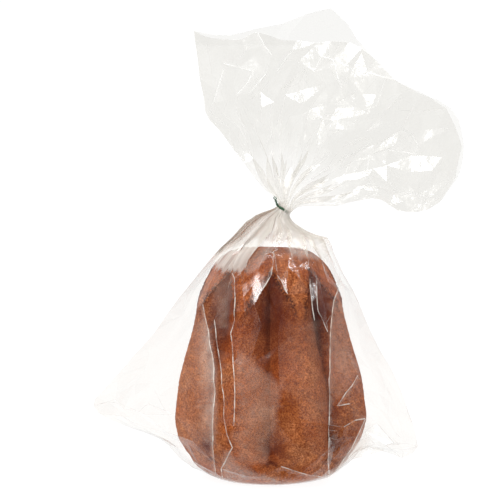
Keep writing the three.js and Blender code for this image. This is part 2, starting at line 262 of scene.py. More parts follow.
# The loaf: a rich yeast dough baked in a deep eight-pointed star tin and turned out on its wide
# end. The crust is matt and brown, darkened by painted shade in the flutes, under the arches and
# over the lip, and torn along the arches where the star meets the rounded end.
POINTS = 8
HEIGHT = 220
FOOT_RADIUS = 51
TOP_RADIUS = 20.5
STEPS_PER_POINT = 8
AROUND = 400
ALONG = 240
FOOT_LIFT = 0.5
TIP = [[0, 101.5], [62, 99], [78, 96.7], [93, 94.6], [108, 90.8], [124, 85.6], [139, 81.3],
       [155, 77.8], [170, 75.5], [HEIGHT, 67.5]]
VALLEY = [[0, 86], [24, 85], [38, 82], [48, 77.5], [62, 80], [78, 79.5], [93, 77],
          [108, 72.5], [124, 67.5], [139, 62.5], [160, 58], [200, 56], [HEIGHT, 54.5]]
OUTLINE = [[0, FOOT_RADIUS], [2.5, 58.5], [8, 67.5], [16, 74.5], [24, 80.5], [32, 85.5],
           [39, 90], [47, 94], [54, 97.5], [62, 101], [80, 105.5], [130, 98], [150, 83.5],
           [160, 77.8], [165, 75.6], [170, 73.8], [175, 71.6], [180, 68.6], [185, 65.6],
           [190, 62.8], [193, 61], [201, 56.3], [209, 49.5], [215, 41.5], [218.6, 31.5],
           [HEIGHT, TOP_RADIUS]]
POINT_ANGLE = 360 / POINTS
POINT_CURVE = 1.4
DEEP_FLUTE = 22
FOOT_BULGE = 2.2
FOOT_BULGE_AT = 11
FOOT_BULGE_SPREAD = 6
LIP_CREASE = 2.8
LIP_CREASE_AT = 17
LIP_CREASE_ARCH = 10
LIP_CREASE_SPREAD = 3.4
WAVE = 0.5
WAVE_HEIGHT = 23
LOW_JOIN = 6.0
TOP_JOIN = 1.2
MOST_RELIEF = 0.6


def through(pairs):
    """A smooth curve through [place, size] pairs that never overshoots them."""
    at, size = np.array(pairs, float).T
    slope = np.diff(size) / np.diff(at)
    tangent = np.empty(len(at))
    tangent[0], tangent[-1] = slope[0], slope[-1]
    product = slope[:-1] * slope[1:]
    total = np.where(product > 0, slope[:-1] + slope[1:], 1)
    tangent[1:-1] = np.where(product > 0, 2 * product / total, 0)

    def curve(x):
        x = np.clip(np.asarray(x, float), at[0], at[-1])
        i = np.clip(np.searchsorted(at, x, side="right") - 1, 0, len(slope) - 1)
        h = at[i + 1] - at[i]
        t = (x - at[i]) / h
        return ((1 + 2 * t) * (1 - t) ** 2 * size[i] + t * (1 - t) ** 2 * h * tangent[i]
                + t * t * (3 - 2 * t) * size[i + 1] + t * t * (t - 1) * h * tangent[i + 1])

    return curve


def smooth(low, high, x):
    t = np.clip((x - low) / (high - low), 0, 1)
    return t * t * (3 - 2 * t)


def soft_least(a, b, width):
    h = np.maximum(width - np.abs(a - b), 0) / width
    return np.minimum(a, b) - h * h * width / 4


state = 7


def draw():
    """The same stream of numbers as in the plain part, between 0 and 1."""
    global state
    state = (state * 1664525 + 1013904223) % 4294967296
    return state / 4294967296


ridges = np.array([[1.6 * draw(), 2.4 * draw(), 1.6 * (draw() - 0.5), 2 * draw()]
                   for _ in range(POINTS)]).T  # shrink, deepen, turn, lip
tip = through(TIP)
valley = through(VALLEY)
outline = through(OUTLINE)


def loaf_radius(degrees, z):
    """Radius in mm, how far into a flute, how far outside the torn edge of the arches, and how
    near the fold over the lip."""
    from_valley = (degrees + 90) % 360
    point = np.minimum((from_valley / POINT_ANGLE).astype(int), POINTS - 1)
    along = from_valley / POINT_ANGLE - point
    near_edge = np.clip(np.minimum(along, 1 - along) * STEPS_PER_POINT, 0, 1)
    next_to = (point + np.where(along < 0.5, -1, 1)) % POINTS
    own = 0.5 + 0.5 * near_edge
    shrink, deepen, turn, lip = own * ridges[:, point] + (1 - own) * ridges[:, next_to]
    turned = along - near_edge * turn * np.sin(math.pi * z / HEIGHT) / POINT_ANGLE
    t = np.clip(np.abs(2 * turned - 1), 0, 1)
    low = valley(z) - deepen * smooth(40, 70, z)
    high = tip(z) - shrink
    star = low + (high - low) * (1 - t ** POINT_CURVE)
    bulge = FOOT_BULGE * np.exp(-(((z - FOOT_BULGE_AT) / FOOT_BULGE_SPREAD) ** 2)) * t ** 2
    above_fold = z - LIP_CREASE_AT - LIP_CREASE_ARCH * t ** 2
    fold = np.exp(-((above_fold / LIP_CREASE_SPREAD) ** 2)) * t ** 2
    crease = (LIP_CREASE + lip) * fold
    wave = WAVE * np.sin(3 * np.radians(from_valley) + z / WAVE_HEIGHT)
    dome = outline(z) + bulge
    width = np.where(z < HEIGHT / 2, LOW_JOIN, TOP_JOIN)
    radius = soft_least(star, dome, width) - crease + wave
    return radius, np.clip((high - star) / DEEP_FLUTE, 0, 1), star - dome, fold


heights = np.linspace(0, HEIGHT, 600)
meridian = np.vstack([
    [[0, 0]],
    np.column_stack([np.minimum(outline(heights), tip(heights)), heights]),
    [[0, HEIGHT]],
])
travelled = np.concatenate([[0], np.cumsum(np.hypot(*np.diff(meridian, axis=0).T))])
rings = np.linspace(0, travelled[-1], ALONG + 1)
ring_radius = np.interp(rings, travelled, meridian[:, 0])
ring_height = np.interp(rings, travelled, meridian[:, 1])

bpy.ops.object.select_all(action="DESELECT")
bpy.ops.mesh.primitive_grid_add(x_subdivisions=AROUND, y_subdivisions=ALONG, size=2)
loaf = bpy.context.object
loaf.name = "pandoro_crust"


def points_of(piece):
    co = np.empty(len(piece.data.vertices) * 3)
    piece.data.vertices.foreach_get("co", co)
    return co.reshape(-1, 3)


def put_points(piece, points):
    piece.data.vertices.foreach_set("co", points.ravel())
    piece.data.update()


def cloud(points, size, seed=0):
    """Smooth noise from -1 to 1 at each point, in lumps of this size."""
    shift = Vector((seed * 7.3, seed * 3.1, seed * 5.7))
    return np.array([noise.noise(Vector(p) + shift) for p in points / size])


def store(piece, name, values, kind="FLOAT", domain="POINT"):
    field = "vector" if kind == "FLOAT_VECTOR" else "value"
    piece.data.attributes.new(name, kind, domain).data.foreach_set(field, np.ravel(values))


flat = points_of(loaf)
degrees = (flat[:, 0] + 1) * 180
ring = np.rint((flat[:, 1] + 1) / 2 * ALONG).astype(int)
z = ring_height[ring]
radius, flute, past, lip_fold = loaf_radius(degrees, z)
end_radius = np.where(z > HEIGHT / 2, outline(HEIGHT), outline(0))
flat_end = (ring_height[ring] <= 0) | (ring_height[ring] >= HEIGHT)
radius = np.where(flat_end, radius * ring_radius[ring] / end_radius, radius)
radius = np.where((ring == 0) | (ring == ALONG), 0, radius)
angle = np.radians(degrees)
points = np.column_stack([radius * np.cos(angle), radius * np.sin(angle), z])

# The relief: broad lumps, long dents that run with the flutes, wrinkles, and crags on the arches.
along_flute = points * (1, 1, 0.4)
relief = 0.8 * cloud(points, 42, 1) + 0.45 * cloud(along_flute, 13, 2)
relief += 0.3 * cloud(points, 5, 3)
wrinkle = 1 - np.abs(cloud(points * (1, 1, 0.7) + 0.6 * points[:, [2, 2, 0]], 16, 5))
relief -= 0.8 * smooth(0.86, 1, wrinkle)
torn = np.exp(-((past / 2.6) ** 2)) * smooth(150, 165, z) * smooth(0.02, 0.1, flute)
crags = cloud(points, 2.6, 4)
relief += torn * (1.5 * crags - 0.9)
relief = np.minimum(relief, MOST_RELIEF)
relief *= smooth(0, 5, z)
outward = np.column_stack([np.cos(angle), np.sin(angle), smooth(200, 222, z)])
points += outward * relief[:, None]
points[:, 2] = np.maximum(points[:, 2], FOOT_LIFT)
put_points(loaf, points / 1000)
store(loaf, "flute", flute * smooth(20, 60, z) * (1 - flat_end))
store(loaf, "torn", torn)
# Painted shade: under the torn arches, in the hollow above the lip, and in the crease over the
# lip.
recess = smooth(0.3, -2, past) * smooth(105, 165, z) * (0.4 + 0.6 * smooth(0.1, 0.55, flute))
shade_over_lip = 0.95 * np.exp(-(((z - 38) / 10) ** 2)) * smooth(0.25, 0.75, flute)
store(loaf, "recess", np.maximum(recess, np.maximum(shade_over_lip, smooth(0.3, 0.9, lip_fold))))
bpy.ops.object.mode_set(mode="EDIT")
bpy.ops.mesh.select_all(action="SELECT")
bpy.ops.mesh.remove_doubles(threshold=0.00001)
bpy.ops.mesh.normals_make_consistent(inside=False)
bpy.ops.object.mode_set(mode="OBJECT")
bpy.ops.object.shade_smooth()

CRUST_BROWN = (0.68, 0.175, 0.04, 1)
CRUST_TAN = (0.84, 0.32, 0.12, 1)
CRUST_AMBER = (0.56, 0.14, 0.014, 1)
MOTTLE_BROWN = (0.2, 0.036, 0.009, 1)
GRAIN_BROWN = (0.15, 0.018, 0.002, 1)
SPECK_BROWN = (0.07, 0.012, 0.005, 1)
FLUTE_SHADE_BROWN = (0.17, 0.026, 0.005, 1)
RECESS_SHADE_RED = (0.1, 0.009, 0.002, 1)
CRUMB_BROWN = (0.06, 0.01, 0.004, 1)
crust, start, place = new_material("baked_crust")


def attribute(start, name, output="Fac"):
    return start.out("ShaderNodeAttribute", output, {"attribute_name": name})


def grain_of(place, scale, detail=3.0, roughness=0.5):
    return place.out("ShaderNodeTexNoise", "Fac", Vector=place, Scale=scale, Detail=detail,
                     Roughness=roughness)


patches = grain_of(place, 24, 4).spread(0.38, 0.62)
mottle = grain_of(place, 170, 4, 0.7).spread(0.36, 0.64)
grain = grain_of(place, 640, 3, 0.75).spread(0.4, 0.62)
specks = grain_of(place, 900, 2).spread(0.56, 0.66)
warm = grain_of(place, 38, 3).spread(0.45, 0.68)
brown = patches.mix(CRUST_BROWN, CRUST_TAN)
brown = (warm * 0.6).mix(brown, CRUST_AMBER)
brown = (mottle * 0.6).mix(brown, MOTTLE_BROWN)
brown = (grain * 0.82).mix(brown, GRAIN_BROWN)
brown = (specks * 0.4).mix(brown, SPECK_BROWN)
# Painted shade: the crust darkens the deeper it lies in a flute.
brown = (attribute(start, "flute") * 0.5).mix(brown, FLUTE_SHADE_BROWN)
# Painted shade: the crust goes dark red-brown in the recesses under the arches and by the lip.
shaded = attribute(start, "recess") * (0.75 + 0.25 * warm)
brown = (shaded * 0.95).mix(brown, RECESS_SHADE_RED)
crumbs = attribute(start, "torn") * grain_of(place, 560, 2).spread(0.4, 0.54)
brown = (crumbs * 0.9).mix(brown, CRUMB_BROWN)
pores = grain * 0.6 + grain_of(place, 1600, 2) * 0.4
bump = start.out("ShaderNodeBump", 0, Strength=0.6, Distance=0.0006, Height=pores)
show(start.out("ShaderNodeBsdfPrincipled", 0, Base_Color=brown, Normal=bump,
               Roughness=grain * 0.2 + 0.6, Specular_IOR_Level=0.06))
paint(loaf, crust)
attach(loaf, "root")
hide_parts("pandoro")

# The bag: one flat tube of thin clear film, sealed across its bottom, whose corners stand out as
# two fins. It hangs loose round the loaf, is gathered into knife pleats under the tie, and its
# open end fans out above. The film is creased into flat facets.
FLAT_ROUND = 730  # the film's own way round
PLEATS = 22
SIDES = 480
NECK = np.array([12.5, 0, 258])
NECK_TILT = 35
NECK_RADIUS = 5.6
NECK_BAND = 2.5
FAN_DROP = 5
FAN_START = 12
BAG_ROUND = [[0, 54.5], [4, 64], [12, 74.5], [20, 81], [28, 86.5], [36, 92], [44, 96.5],
             [52, 99.6], [62, 101.6], [78, 99.6], [93, 97.2], [108, 93.4], [124, 88.2], [139, 84],
             [155, 80.6], [170, 78.4], [176, 76.4], [182, 72.4], [196, 63.4], [209, 55],
             [221, 44], [229, 35], [236, 27], [241, 21], [245, 16.5], [249, 12]]
BAG_LEFT = [[0, 60], [4, 70], [12, 82], [20, 91], [28, 98], [36, 109], [44, 130], [52, 152],
            [60, 166], [70, 171], [80, 163], [138, 112], [160, 96], [172, 88], [184, 77],
            [202, 62], [221, 47], [229, 39], [236, 32], [241, 27], [245, 21.5], [249, 15]]
BAG_RIGHT = [[0, 62], [4, 68], [12, 77], [20, 84], [28, 92], [36, 112], [44, 134], [52, 144],
             [60, 142], [70, 138], [86, 128], [109, 114], [138, 98], [170, 84], [183, 78],
             [196, 70], [209, 65], [221, 58], [229, 53], [236, 49], [241, 41], [245, 27],
             [249, 14]]
BAG_MIDDLE = [[0, 0], [205, 0], [221, 1], [236, 4], [245, 7], [249, 8.6]]
EAR_DROOP = 26
EAR_FROM = 88
EAR_SPAN = 44
FAN_LEFT = [[12, 104], [27, 122], [42, 125], [71, 125.8], [100, 126.5], [116, 127.3],
            [126, 124.8], [159, 119.3], [193, 115.3]]
FAN_RIGHT = [[12, 14], [18, 22], [32, 17], [53, 9], [90, 9.5], [114, 1.5], [136, 1.4],
             [153, 4.5]]
RIM_FRONT = [[0, 193], [0.045, 180], [0.136, 170], [0.172, 174], [0.253, 166], [0.353, 167],
             [0.434, 176], [0.525, 173], [0.606, 168], [0.677, 176], [0.7475, 190],
             [0.785, 191.5], [0.87, 183], [0.905, 178], [0.955, 165], [1, 153]]
RIM_BACK = [[0, 193], [0.1, 176], [0.24, 180], [0.355, 201], [0.45, 182], [0.606, 168],
            [0.75, 188], [0.86, 185], [1, 153]]
FAN_HALF_DEPTH = [[12, 6.5], [30, 10], [70, 17], [120, 22], [160, 21], [200, 18]]
FAN_ROWS = 40
HALF_ROUND = 720  # fine steps from fin to fin, to measure the film along

bag_round, bag_left, bag_right = through(BAG_ROUND), through(BAG_LEFT), through(BAG_RIGHT)
bag_middle = through(BAG_MIDDLE)
share_round = np.arange(SIDES + 1) / SIDES  # 0 right, 0.25 back, 0.5 left, 0.75 front


def taut(radius, reach, away):
    """How far a taut film reaches, from a circle out to a point at the given reach."""
    lean = np.arccos(np.clip(radius / max(reach, radius), -1, 1))
    return radius / np.cos(np.maximum(lean - away, 0))


def body_ring(z):
    """Points at even steps of film length from fin to fin, at one height of the bag."""
    fine = np.linspace(0, 2 * math.pi, 2 * HALF_ROUND + 1)
    from_right = np.minimum(fine, 2 * math.pi - fine)
    r = np.maximum(taut(bag_round(z), bag_left(z), math.pi - from_right),
                   taut(bag_round(z), bag_right(z), from_right))
    x, y = r * np.cos(fine), r * np.sin(fine)
    step = np.concatenate([[0], np.cumsum(np.hypot(np.diff(x), np.diff(y)))])
    back, whole = step[HALF_ROUND], step[-1]
    share = np.concatenate([step[:HALF_ROUND] / back / 2,
                            0.5 + (step[HALF_ROUND:] - back) / (whole - back) / 2])
    x, y = np.interp(share_round, share, x), np.interp(share_round, share, y)
    droop = EAR_DROOP * smooth(EAR_FROM, EAR_FROM + EAR_SPAN, x) * smooth(110, 52, z)
    lean = math.radians(NECK_TILT * 0.6) * smooth(226, 250, z)
    return np.column_stack([bag_middle(z) + x * np.cos(lean), y, z - x * np.sin(lean) - droop])


tilt = math.radians(NECK_TILT)
neck_axis = np.array([math.sin(tilt), 0, math.cos(tilt)])
neck_across = np.array([math.cos(tilt), 0, -math.sin(tilt)])
fan_centre = NECK - FAN_DROP * neck_axis
fan_left, fan_right = through(FAN_LEFT), through(FAN_RIGHT)
rim_front, rim_back = through(RIM_FRONT), through(RIM_BACK)
fan_half_depth = through(FAN_HALF_DEPTH)


def neck_ring(along):
    angle = 2 * math.pi * share_round
    return (NECK + along * neck_axis + NECK_RADIUS * np.cos(angle)[:, None] * neck_across
            + NECK_RADIUS * np.sin(angle)[:, None] * np.array([0, 1, 0]))


def fan_ring(share):
    """Points round the open end, at one share of the way from the tie to the rim."""
    front = share_round > 0.5
    across = np.where(front, 2 * share_round - 1, 1 - 2 * share_round)
    rim = np.where(front, rim_front(across), rim_back(across))
    reach = FAN_START + (rim - FAN_START) * share
    left = fan_left(reach)
    turn = np.radians(left + (fan_right(reach) - left) * across)
    gape = np.clip(4 * across * (1 - across), 0, 1) ** 0.65
    fold = np.cos(9 * math.pi * across + 0.7) + 0.6 * np.cos(17 * math.pi * across)
    ruffle = np.where(front, fold, np.cos(7 * math.pi * across + 2.1) + 0.5 * fold)
    depth = fan_half_depth(reach) * gape * (1 + 0.16 * ruffle)
    sway = share * (15 * np.sin(5.2 * across + 0.4) + 5 * np.cos(15 * across)) - 4 * share
    return np.column_stack([
        fan_centre[0] + reach * np.cos(turn),
        np.where(front, -depth, depth) + sway,
        fan_centre[2] + reach * np.sin(turn),
    ])


foot = body_ring(0)
under = [foot * (k / 5, k / 5, 1) for k in range(5)]
body_heights = np.concatenate([np.arange(0, 236, 4), [238, 241, 245, 249]])
lattice = np.array([
    *under,
    *[body_ring(z) for z in body_heights],
    *[neck_ring(along) for along in (-NECK_BAND, 0, NECK_BAND)],
    *[fan_ring(share ** 1.25) for share in np.linspace(0, 1, FAN_ROWS)],
])
row_foot = len(under)
row_neck = len(under) + len(body_heights) + 1
stride = np.linalg.norm(np.diff(lattice, axis=0), axis=2).mean(axis=1)
film_length = np.concatenate([[0], np.cumsum(stride)])
ring_length = np.linalg.norm(np.diff(lattice, axis=1), axis=2).sum(axis=1)
at_foot, at_neck, at_rim = film_length[row_foot], film_length[row_neck], film_length[-1]


def place_on(surface, share, along):
    """The point of a surface at a share of the way round and a length along the film."""
    row = np.interp(along, film_length, np.arange(len(film_length)))
    i = np.clip(row.astype(int), 0, len(film_length) - 2)
    column = (share % 1.0) * SIDES
    column = np.where(share > 0.999999, SIDES, column)
    j = np.clip(column.astype(int), 0, SIDES - 1)
    u, v = (column - j)[:, None], (row - i)[:, None]
    return ((surface[i, j] * (1 - u) + surface[i, j + 1] * u) * (1 - v)
            + (surface[i + 1, j] * (1 - u) + surface[i + 1, j + 1] * u) * v)


downwards = np.gradient(lattice, axis=0)
wrapped = np.concatenate([lattice[:, -2:-1], lattice, lattice[:, 1:2]], axis=1)
sidewards = wrapped[:, 2:] - wrapped[:, :-2]
outward = np.cross(sidewards, downwards)
outward /= np.maximum(np.linalg.norm(outward, axis=2, keepdims=True), 1e-9)
outward[:row_foot] = (0, 0, -1)

# Long folds as the camera sees them: whether each is a crisp white line, one that leaves the film
# hazy on its left or right, or a soft bend, then across, upwards and how far it stands out, in mm.
FRONT_FOLDS = [
    ("right", [(2.9, 215, 1), (6, 199.3, 1.8), (10.1, 188.4, 1.8), (16.1, 178.1, 1)]),
    ("left", [(0.5, 213, 1), (1.5, 204, 1.6), (1, 193.2, 1.6), (-7.1, 179.2, 0.6)]),
    ("crisp", [(-36, 197, 1), (-33.6, 192, 2), (-33.6, 151, 2.4), (-37.4, 141.7, 2),
               (-34.6, 118.4, 2), (-33.6, 100, 2), (-33.6, 53, 1)]),
    ("crisp", [(-53, 152, 1), (-51.8, 142.8, 1.6), (-49.3, 125.1, 2), (-46.1, 102.3, 2),
               (-43.2, 63.6, 2), (-39.6, 46.4, 2), (-35.5, 32, 1.8), (-46, 12, 1.2),
               (-45, 1, 0.8)]),
    ("left", [(-64, 168, 1), (-61.7, 155, 2), (-58.6, 140.4, 2), (-52.9, 107.8, 2.2),
              (-52.8, 63.6, 2), (-54.7, 38.7, 2), (-51.2, 4, 1)]),
    ("crisp", [(37, 192, 1), (36.5, 188, 2), (39, 170, 2), (41.3, 151, 1)]),
    ("crisp", [(43, 192, 1), (43.2, 185, 2), (44.2, 160.6, 2), (53.8, 142.4, 1)]),
    ("right", [(66.2, 193.2, 1), (60.5, 169.2, 2), (56.3, 142.8, 2.2), (55, 116.4, 2.2),
               (55, 63.6, 2), (54.4, 19.7, 1.8), (55.4, 1, 1)]),
    ("right", [(82.6, 98.2, 1), (72, 84, 1.6), (62.4, 72.5, 1)]),
    ("crisp", [(62.4, 71.3, 1), (74.9, 73.2, 1)]),
    ("right", [(90.2, 56.9, 1), (76.8, 30, 2), (66, 14, 2), (55.7, 1, 1)]),
    ("crisp", [(90, 58, 0.8), (79, 55, 1.4), (69, 53, 1)]),
    ("crisp", [(9.6, 16, 0.8), (28.8, 8.9, 1.4), (48, 0.5, 1)]),
    ("soft", [(-29.8, 118, 0.6), (-10, 104, 1), (8.6, 91.5, 1), (2, 62, 0.6)]),
]
BACK_FOLDS = [
    ("right", [(-62, 188, 1), (-53, 150, 2), (-50, 100, 2), (-54, 50, 2), (-48, 10, 1)]),
    ("crisp", [(-20, 204, 1), (-14, 170, 2), (-23, 138, 2), (-16, 90, 2), (-19, 42, 1)]),
    ("left", [(22, 202, 1), (33, 160, 2), (29, 104, 2.2), (34, 50, 2), (30, 12, 1)]),
    ("crisp", [(64, 182, 1), (57, 150, 2), (61, 98, 2), (68, 62, 1)]),
    ("soft", [(-12, 132, 0.6), (10, 112, 1), (5, 62, 1), (-4, 30, 0.6)]),
]
TAIL_FOLDS = [
    ("right", [(-57.1, 349.4, 1), (-51.1, 368.6, 2.4), (-44.2, 387.8, 1)]),
    ("right", [(-44.2, 393.1, 1), (-30, 389, 2), (-15.4, 387, 2), (-31, 365.2, 1)]),
    ("crisp", [(-19.7, 366.9, 1), (-4.8, 381.8, 2)]),
    ("right", [(7.4, 386.1, 1), (21.4, 405.3, 2.4)]),
    ("left", [(-10.9, 421, 1), (0.5, 400.1, 2.4)]),
    ("right", [(40.3, 384.3, 2), (47.5, 401.8, 2.4), (58.1, 398.3, 2.4), (66.7, 368.6, 1)]),
    ("crisp", [(38.9, 342.5, 1), (59.8, 341.6, 2)]),
    ("left", [(61.4, 394.8, 2), (90, 386, 2.4), (117, 375.6, 2)]),
    ("right", [(112.3, 312.8, 1), (138.2, 307.5, 2.4), (142.7, 295.4, 1)]),
    ("crisp", [(124.3, 333.8, 1), (140.2, 316.3, 2.4)]),
    ("crisp", [(44.2, 344, 1), (62, 348, 2), (85.9, 347.8, 1)]),
    ("right", [(38.9, 284.9, 1), (66, 302, 2), (92.9, 318, 1)]),
    ("left", [(92.9, 302.3, 1), (94.7, 277.9, 2), (134.9, 270.9, 2), (161, 264.5, 1)]),
]
HAZY_SIDE = {"left": -1, "right": 1}
FOLD_STEP = 11

pick = random.Random(11)
spots = []  # share round, length along, push out, slide round, kind
links = []
link_kind = []


def crease_line(stations, hazy_side=0):
    """Adds one line of joined spots."""
    first = len(spots)
    spots.extend(stations)
    for k in range(first, len(spots) - 1):
        links.append((k, k + 1))
        link_kind.append((stations[0][4], hazy_side))


to_seen = np.array([[1, 0], [0, math.sin(CAMERA_RISE)], [0, math.cos(CAMERA_RISE)]])
seen, seen_outward = lattice @ to_seen, outward @ to_seen
front_side, back_side = slice(SIDES // 2 + 1, SIDES), slice(1, SIDES // 2)
body_rows, tail_rows = slice(row_foot, row_neck - 2), slice(row_neck + 4, len(lattice))
for folds, kind, rows, columns in ((FRONT_FOLDS, "front", body_rows, front_side),
                                   (BACK_FOLDS, "front", body_rows, back_side),
                                   (TAIL_FOLDS, "tail", tail_rows, front_side)):
    searched = np.zeros(seen.shape[:2], bool)
    searched[rows, columns] = True
    found_row, found_column = np.nonzero(searched)
    found, found_outward = seen[searched], seen_outward[searched]
    for look, fold in folds:
        line = []
        for (x0, up0, out0), (x1, up1, out1) in zip(fold, fold[1:] + fold[-1:]):
            steps = max(1, round(math.hypot(x1 - x0, up1 - up0) / FOLD_STEP))
            for t in np.arange(steps) / steps:
                goal = (x0 + (x1 - x0) * t, up0 + (up1 - up0) * t)
                out = out0 + (out1 - out0) * t
                near = np.hypot(*(found + out * found_outward - goal).T).argmin()
                line.append((found_column[near] / SIDES, film_length[found_row[near]],
                             out, 0.0, "soft" if look == "soft" else kind))
        crease_line(line, HAZY_SIDE.get(look, 0))

# Knife pleats: pairs of lines, the outer fold and the inner one, from near the cap up through
# the tie and out over the fan. At the front right they bulge over the tie's paper.
PLEAT_BELOW = (72, 125)
PLEAT_ABOVE = (45, 120)
PLEAT_OUT = 2.2
PLEAT_IN = -1.0
OVER_TIE = 2.7


def pleat_reach(along):
    """How far each fold of the gather laps over, as a share round."""
    girth = np.interp(along, film_length, ring_length)
    return float(np.clip((FLAT_ROUND / girth - 1) / (4 * PLEATS), 0, 0.62 / PLEATS))


for k in range(PLEATS):
    pleat_at = (k + 0.5 + pick.uniform(-0.18, 0.18)) / PLEATS
    half = 0.25 / PLEATS
    side = pick.choice((-1, 1))
    weight = pick.uniform(0.6, 1.25)
    start_at = at_neck - pick.uniform(*PLEAT_BELOW)
    end_at = at_neck + pick.uniform(*PLEAT_ABOVE)
    by_tie = float(smooth(0.765, 0.79, pleat_at) * smooth(0.995, 0.97, pleat_at))
    for fold in (-1, 1):
        line = []
        along = start_at + pick.uniform(0, 9)
        drift = pick.uniform(-0.2, 0.2) / PLEATS
        while along < end_at:
            from_end = min(along - start_at, end_at - along)
            from_neck = abs(along - at_neck)
            strength = float(smooth(0, 35, from_end)) * weight
            slide = -fold * side * pleat_reach(along) * strength
            lift = (PLEAT_OUT if fold * side < 0 else PLEAT_IN) * strength * float(
                smooth(0, 25, from_neck) * 0.8 + 0.2)
            wander = drift * float(smooth(10, 80, from_neck))
            lift += OVER_TIE * by_tie * math.exp(-((from_neck / 7) ** 2))
            line.append((pleat_at + fold * half + wander, along, lift, slide, "pleat"))
            along += 7 if from_neck < 25 else pick.uniform(10, 15)
        crease_line(line)

# The two side folds of the tube, its open rim and its foot.
SIDE_STEP = 9
FOOT_SPOTS = [(1.0, 40), (0.66, 28), (0.33, 16), (0.0, 8)]  # part of the way out, number
along = at_foot
while along < at_rim - 4:
    spots += [(0.0, along, 0.0, 0.0, "side"), (0.5, along, 0.0, 0.0, "side")]
    along += SIDE_STEP
for rim, front in ((RIM_FRONT, 1), (RIM_BACK, -1)):
    for (here, _), (there, _) in zip(rim, rim[1:]):
        for across in (here, (here + there) / 2 + pick.uniform(-0.01, 0.01)):
            if across > 0:
                push = pick.uniform(-1.5, 1.5)
                spots.append((0.5 + front * across / 2, at_rim, push, 0.0, "rim"))
spots += [(0.0, at_rim, 0.0, 0.0, "rim"), (0.5, at_rim, 0.0, 0.0, "rim")]
for part, count in FOOT_SPOTS:
    spots += [(k / count, at_foot * part, 0.0, 0.0, "foot") for k in range(count)]


def scatter(tries, gap, low, high, push, left=0.0, right=1.0):
    """Adds loose spots wherever there is room for one."""
    taken = np.zeros((len(spots) + tries, 2))
    taken[:len(spots)] = [(spot[0] * FLAT_ROUND, spot[1]) for spot in spots]
    held = len(spots)
    for _ in range(tries):
        share, along = pick.uniform(left, right), pick.uniform(low, high)
        away = np.hypot(taken[:held, 0] - share * FLAT_ROUND, taken[:held, 1] - along)
        if away.min() > gap:
            spots.append((share, along, pick.uniform(-push, push), 0.0, "facet"))
            taken[held] = (share * FLAT_ROUND, along)
            held += 1


# Two crumpled patches first, where the photo shows small facets, then the tail, the two fins,
# three looser patches, and the rest of the front and of the whole.
scatter(90, 6, at_rim - 90, at_rim - 30, 1.6, 0.8, 0.86)
scatter(60, 6, at_foot + 40, at_foot + 90, 1.0, 0.83, 0.88)
scatter(2600, 12, at_neck + 34, at_rim - 6, 2.8)
scatter(300, 12, at_foot + 20, at_foot + 120, 1.8, 0.4, 0.6)
scatter(200, 12, at_foot + 20, at_foot + 120, 1.8, 0.92, 1.0)
scatter(200, 12, at_foot + 20, at_foot + 120, 1.8, 0.0, 0.08)
scatter(160, 11, at_foot + 10, at_foot + 80, 1.6, 0.84, 0.92)
scatter(60, 9, at_neck - 122, at_neck - 84, 1.0, 0.67, 0.73)
scatter(60, 9, at_neck - 150, at_neck - 100, 0.9, 0.835, 0.87)
scatter(500, 22, at_foot + 6, at_neck - 66, 0.7, 0.62, 0.88)
scatter(1600, 20, at_foot + 6, at_neck - 66, 1.5)

# The flat tube is cut open at the right side fold to join its spots into facets, so the spots on
# that fold are put in twice. All spots at the middle of the foot are one.
count = len(spots)
seam = [k for k, spot in enumerate(spots) if spot[0] == 0.0]
owner = list(range(count)) + seam
flat_points = [Vector((spot[0] * FLAT_ROUND, spot[1])) for spot in spots]
flat_points += [Vector((FLAT_ROUND, spots[k][1])) for k in seam]
flat_xy, edges, triangles, from_points, from_links, _ = delaunay_2d_cdt(
    flat_points, links, [], 0, 1e-3, True)
flat_xy = np.array([tuple(p) for p in flat_xy])
middle_spot = next(k for k, spot in enumerate(spots) if spot[1] == 0)
number = np.zeros(len(flat_xy), int)
lift, slide = np.zeros(len(flat_xy)), np.zeros(len(flat_xy))
next_number = count
for k, ids in enumerate(from_points):
    if ids:
        number[k] = middle_spot if spots[owner[ids[0]]][1] == 0 else owner[ids[0]]
        lift[k], slide[k] = spots[owner[ids[0]]][2:4]
    else:  # two folds cross here
        number[k] = next_number
        next_number += 1
known = number < count
for k in np.nonzero(~known)[0]:
    near = np.hypot(*(flat_xy[known] - flat_xy[k]).T).argsort()[:3]
    lift[k] = lift[known][near].mean()
    slide[k] = slide[known][near].mean()
where = flat_xy[:, 0] / FLAT_ROUND + slide
where = np.where(where < 0, where + 1, where)
corner = np.zeros((next_number, 3))
corner[number] = (place_on(lattice, where, flat_xy[:, 1])
                  + place_on(outward, where, flat_xy[:, 1]) * lift[:, None])
triangles = [list(t) for t in triangles if len(set(number[list(t)])) == 3]
facets = number[np.array(triangles)]
flat_place = flat_xy[np.array(triangles)]  # of each facet's corners on the flat tube
line_kind = {}
for (i, j), ids in zip(edges, from_links):
    if ids:
        line_kind[frozenset((number[i], number[j]))] = link_kind[ids[0]]
used = np.unique(facets)
renumber = np.full(next_number, -1)
renumber[used] = np.arange(len(used))
line_kind = {frozenset(int(renumber[k]) for k in pair): kind for pair, kind in line_kind.items()}
facets, corner = renumber[facets], corner[used]
mesh = bpy.data.meshes.new("film_bag")
mesh.from_pydata((corner / 1000).tolist(), [], facets.tolist())
film = bpy.data.objects.new("film_bag", mesh)
bpy.context.scene.collection.objects.link(film)
